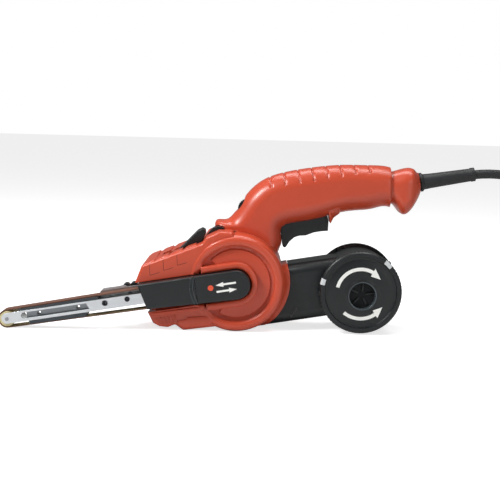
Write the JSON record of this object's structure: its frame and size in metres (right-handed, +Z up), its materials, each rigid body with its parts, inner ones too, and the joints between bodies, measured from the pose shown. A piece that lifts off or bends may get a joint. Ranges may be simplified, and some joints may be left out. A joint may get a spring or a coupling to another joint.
{
  "type": "handheld finger belt sander",
  "caption": "Corded finger belt sander: narrow belt on a sliding arm, tension lever, trigger handle, speed wheel and round dust canister.",
  "frame": {"origin": "on the bench surface, under the middle of the tool without its cord", "axes": "+X from the nose roller towards the handle end and cord, +Y away from the belt side, +Z up"},
  "size_m": [0.6586, 0.1584, 0.1453],
  "materials": {
    "housing_plastic": "satin",
    "black_plastic": "satin",
    "arm_steel": "brushed",
    "guide_aluminium": "satin",
    "steel": "satin",
    "platen_slate": "matte",
    "roller_nylon": "satin",
    "abrasive": "rough",
    "laminations": "satin",
    "copper": "satin",
    "carbon": "matte",
    "fan_plastic": "satin",
    "circuit_board": "satin",
    "cord_rubber": "matte",
    "tie_plastic": "satin",
    "filter_cloth": "rough",
    "pin_metal": "polished"
  },
  "bodies": {
    "tool": {"belt": "abrasive", "brush_holders": "black_plastic", "brush_springs": "steel", "brushes": "carbon", "cable_tie": "tie_plastic", "case_screws": "steel", "clamp_screws": "steel", "cord_clamp": "black_plastic", "cord_coil": "cord_rubber", "cord_guard": "cord_rubber", "cord_tail": "cord_rubber", "cord_tube": "cord_rubber", "drive_cover": "black_plastic", "field_coils": "copper", "front_bearing_outer": "steel", "front_shroud": "black_plastic", "guide_bar": "guide_aluminium", "guide_screws": "steel", "housing_left": "housing_plastic", "housing_right": "housing_plastic", "inner_lead": "cord_rubber", "lever_catch": "black_plastic", "lever_pin": "steel", "plug_body": "cord_rubber", "plug_pins": "pin_metal", "rear_bearing_outer": "steel", "speed_board": "circuit_board", "stator_core": "laminations", "switch_body": "fan_plastic", "trigger_pin": "steel"},
    "rotor": {"motor_shaft": "steel", "drive_roller": "roller_nylon", "fan": "fan_plastic", "armature_core": "laminations", "armature_windings": "copper", "commutator": "copper", "front_bearing_inner": "steel", "rear_bearing_inner": "steel"},
    "arm": {"arm_plate_near": "arm_steel", "arm_plate_far": "arm_steel", "nose_axle": "steel", "guide_pin": "steel", "upper_platen": "platen_slate", "lower_platen": "platen_slate", "tracking_bracket": "arm_steel", "lever_link": "arm_steel", "tension_spring": "steel"},
    "nose_wheel": {"nose_roller": "roller_nylon"},
    "tracking": {"tracking_knob": "black_plastic", "tracking_screw": "steel"},
    "lever": {"tension_lever": "black_plastic"},
    "trigger_lever": {"trigger": "black_plastic"},
    "plunger": {"switch_plunger": "black_plastic", "plunger_spring": "steel"},
    "dial": {"speed_dial": "black_plastic"},
    "dust_unit": {"dust_duct": "black_plastic", "dust_canister": "black_plastic", "filter_cup": "filter_cloth"},
    "dust_cap": {"canister_cap": "black_plastic", "dust_seal": "cord_rubber"}
  },
  "joints": [
    {"name": "motor_spin", "type": "hinge", "parent": "tool", "child": "rotor", "pos_m": [-0.00364, -0.00125, 0.042], "axis": [0, 1, 0], "continuous": true},
    {"name": "nose_roller_spin", "type": "hinge", "parent": "arm", "child": "nose_wheel", "pos_m": [-0.19868, -0.00125, 0.0079], "axis": [0, 1, 0], "continuous": true},
    {"name": "tension_lever_turn", "type": "hinge", "parent": "tool", "child": "lever", "pos_m": [-0.05596, -0.00125, 0.05671], "axis": [0, -1, 0], "range_deg": [0, 66]},
    {"name": "arm_slide", "type": "slide", "parent": "tool", "child": "arm", "axis": [0.9851, 0, 0.1722], "range_m": [0, 0.008], "deforming": ["tension_spring"]},
    {"name": "trigger_press", "type": "hinge", "parent": "tool", "child": "trigger_lever", "pos_m": [0.06911, -0.00125, 0.10203], "axis": [0, 1, 0], "range_deg": [0, 6], "stiffness_Nm_per_rad": 0.4, "springref_deg": -17.19},
    {"name": "switch_plunger_slide", "type": "slide", "parent": "tool", "child": "plunger", "axis": [-0.1722, 0, 0.9851], "range_m": [0, 0.0022], "deforming": ["plunger_spring"]},
    {"name": "speed_dial_turn", "type": "hinge", "parent": "tool", "child": "dial", "pos_m": [0.00557, -0.00125, 0.1031], "axis": [0, 1, 0], "range_deg": [0, 270]},
    {"name": "tracking_knob_turn", "type": "hinge", "parent": "arm", "child": "tracking", "pos_m": [-0.09496, -0.00125, 0.0301], "axis": [0, 1, 0], "range_deg": [-180, 180]},
    {"name": "dust_unit_pull", "type": "slide", "parent": "tool", "child": "dust_unit", "axis": [0.9851, 0, 0.1722], "range_m": [0, 0.03]},
    {"name": "canister_cap_twist", "type": "hinge", "parent": "dust_unit", "child": "dust_cap", "pos_m": [0.10396, -0.00125, 0.0368], "axis": [0, -1, 0], "range_deg": [0, 30]}
  ],
  "couplings": [
    {"joint": "nose_roller_spin", "follows": "motor_spin", "ratio": 1.3881},
    {"joint": "tension_lever_turn", "follows": "arm_slide", "rad_per_m": 143.99},
    {"joint": "switch_plunger_slide", "follows": "trigger_press", "m_per_rad": 0.02}
  ]
}
